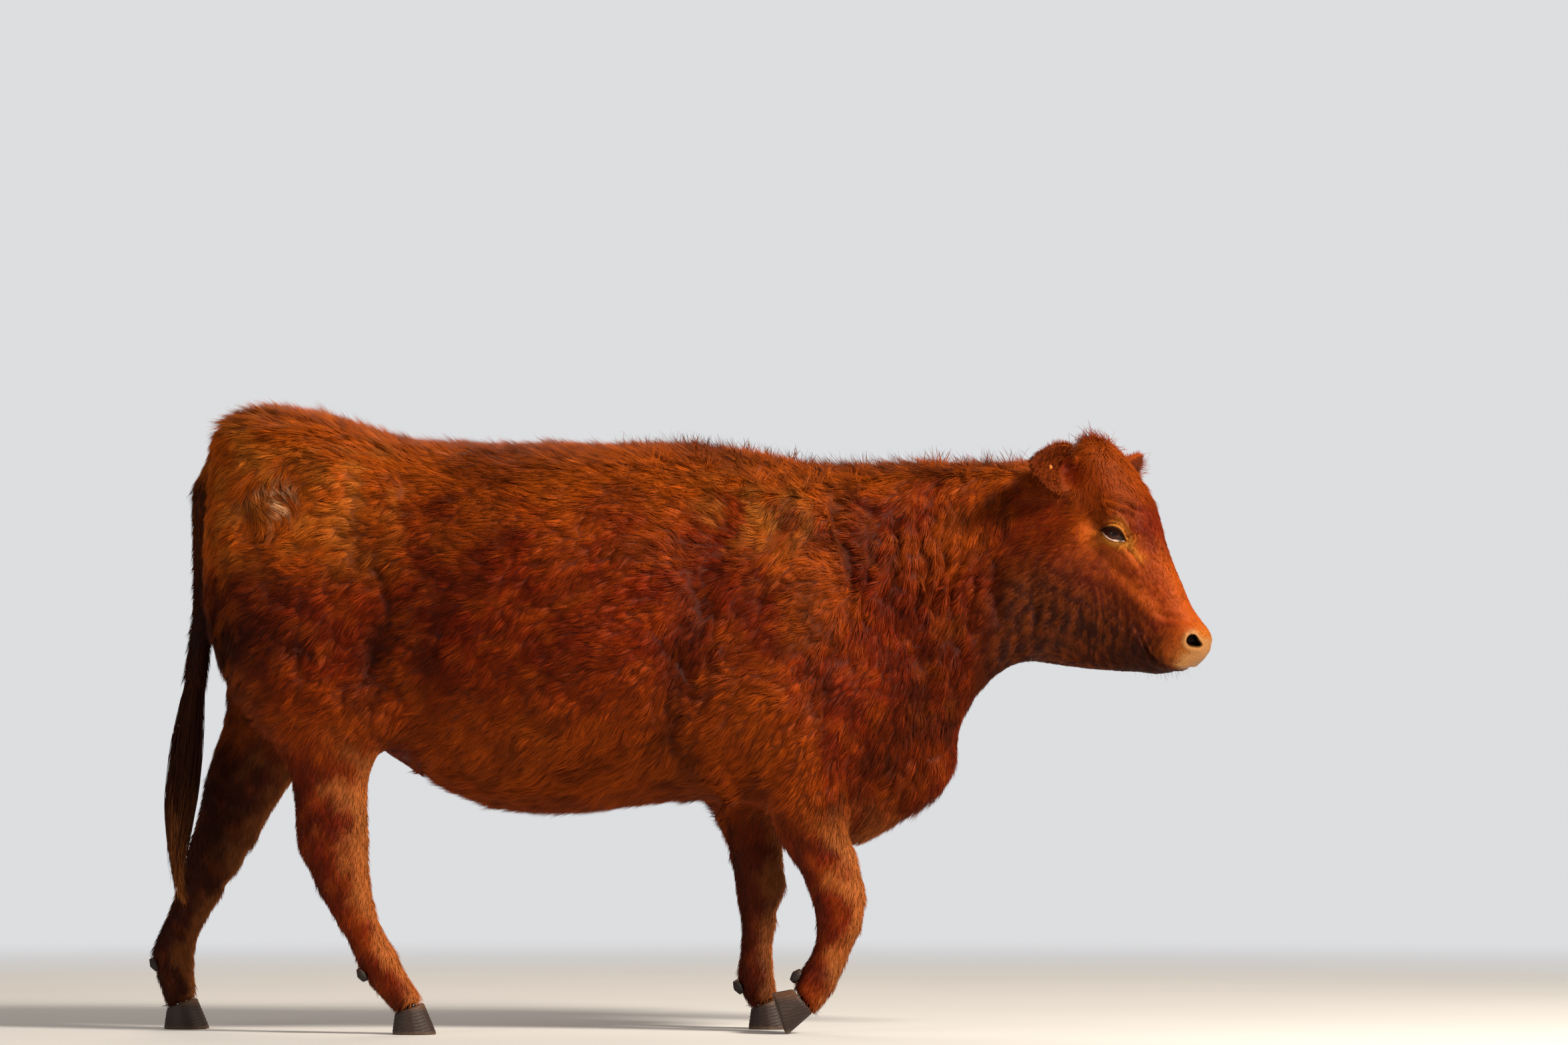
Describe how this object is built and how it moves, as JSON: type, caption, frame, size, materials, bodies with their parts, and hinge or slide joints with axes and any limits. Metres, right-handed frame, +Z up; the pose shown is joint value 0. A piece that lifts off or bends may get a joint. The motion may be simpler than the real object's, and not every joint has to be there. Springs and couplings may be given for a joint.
{
  "type": "cow",
  "caption": "Life-size still model of a polled red beef heifer in mid-stride, head turned to its right, standing on its own hooves.",
  "frame": {"origin": "middle of the model's footprint box, on the floor under the hooves", "axes": "+X the way the animal walks, +Y its left side, +Z up"},
  "size_m": [2.1616, 0.623, 1.2713],
  "materials": {
    "body_coat": "dense red-brown winter hair, soft sheen",
    "face_coat": "short red-brown hair, lighter round the eyes",
    "tail_hair": "long dark red hair, paler at the ends",
    "muzzle_skin": "bare buff skin, slightly moist",
    "hoof_horn": "dark horn with faint growth rings",
    "dewclaw_horn": "dark dull horn",
    "tag_plastic": "orange moulded plastic, dulled by weather",
    "eye": "wet dark brown eye"
  },
  "bodies": {
    "root": {"dewclaw_fore_left_left": "dewclaw_horn", "dewclaw_fore_left_right": "dewclaw_horn", "dewclaw_fore_right_left": "dewclaw_horn", "dewclaw_fore_right_right": "dewclaw_horn", "dewclaw_hind_left_left": "dewclaw_horn", "dewclaw_hind_left_right": "dewclaw_horn", "dewclaw_hind_right_left": "dewclaw_horn", "dewclaw_hind_right_right": "dewclaw_horn", "ear_left": "face_coat", "ear_right": "face_coat", "ear_stud": "tag_plastic", "eye_left": "eye", "eye_right": "eye", "fore_shank_left": "body_coat", "fore_shank_right": "body_coat", "forearm_left": "body_coat", "forearm_right": "body_coat", "gaskin_left": "body_coat", "gaskin_right": "body_coat", "head": "face_coat", "hind_shank_left": "body_coat", "hind_shank_right": "body_coat", "hoof_fore_left_left": "hoof_horn", "hoof_fore_left_right": "hoof_horn", "hoof_fore_right_left": "hoof_horn", "hoof_fore_right_right": "hoof_horn", "hoof_hind_left_left": "hoof_horn", "hoof_hind_left_right": "hoof_horn", "hoof_hind_right_left": "hoof_horn", "hoof_hind_right_right": "hoof_horn", "lower_jaw": "face_coat", "muzzle": "muzzle_skin", "neck": "body_coat", "tail": "tail_hair", "tail_switch": "tail_hair", "trunk": "body_coat"}
  },
  "joints": []
}
